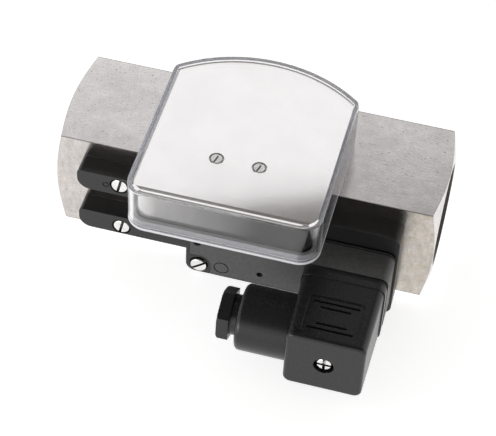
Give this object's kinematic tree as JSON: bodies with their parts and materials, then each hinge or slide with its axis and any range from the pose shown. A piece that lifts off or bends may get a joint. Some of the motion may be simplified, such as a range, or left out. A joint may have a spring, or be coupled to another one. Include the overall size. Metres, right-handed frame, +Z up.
{
  "type": "variable area flow meter",
  "caption": "Square metal flow body with threaded ports, sprung magnetic piston in a measuring cone, dial under a clear hood, black switch housing and square plug with cable gland.",
  "frame": {"origin": "middle of the body's flat underside", "axes": "+X along the pipe with the flow, -Y towards the plug and the reader, +Z up through the dial"},
  "size_m": [0.13, 0.0885, 0.0619],
  "materials": {
    "body_steel": "blasted stainless steel",
    "turned_brass": "turned",
    "bright_steel": "drawn",
    "magnet": "sintered",
    "dial_aluminium": "polished sheet",
    "plated_screws": "bright plated",
    "clear_hood": "clear moulded plastic",
    "black_housing": "fine texture",
    "black_connector": "satin moulded",
    "black_rubber": "moulded",
    "circuit_board": "lacquered",
    "reed_glass": "clear glass",
    "wire_sleeve": "insulation"
  },
  "bodies": {
    "meter": {"flow_body": "body_steel", "measuring_cone": "turned_brass", "inlet_guide": "turned_brass", "outlet_guide": "turned_brass", "guide_rod": "bright_steel", "retaining_rings": "bright_steel", "return_spring": "bright_steel", "dial_base": "dial_aluminium", "base_screws": "bright_steel", "dial_pillars": "turned_brass", "bearing_bridge": "turned_brass", "dial_plate": "dial_aluminium", "dial_screws": "plated_screws", "hood": "clear_hood", "switch_housing": "black_housing", "housing_cover": "black_housing", "arm_screws": "plated_screws", "corner_screw": "plated_screws", "reed_board": "circuit_board", "reed_switch": "reed_glass", "switch_wires": "wire_sleeve", "connector_socket": "black_connector", "contact_pins": "plated_screws"},
    "float": {"piston": "turned_brass", "piston_magnet": "magnet", "magnet_nut": "turned_brass"},
    "follower": {"follower_shaft": "bright_steel", "follower_arm": "dial_aluminium", "follower_magnet": "magnet", "follower_weight": "turned_brass"},
    "plug": {"connector_gasket": "black_rubber", "plug_housing": "black_connector", "plug_insert": "black_connector", "plug_screw": "plated_screws", "gland_nut": "black_connector", "gland_washer": "black_connector", "gland_seal": "black_rubber"}
  },
  "joints": [
    {"name": "float_slide", "type": "slide", "parent": "meter", "child": "float", "axis": [1, 0, 0], "range_m": [0, 0.016], "stiffness_N_per_m": 60, "springref_m": -0.008, "deforming": ["return_spring"]},
    {"name": "follower_swing", "type": "hinge", "parent": "meter", "child": "follower", "pos_m": [0, -0.03, 0.048], "axis": [0, 0, -1], "range_deg": [0, 30]},
    {"name": "plug_pull", "type": "slide", "parent": "meter", "child": "plug", "axis": [0, -1, 0], "range_m": [0, 0.02]}
  ],
  "couplings": [
    {"joint": "follower_swing", "follows": "float_slide", "rad_per_m": 32.57}
  ]
}
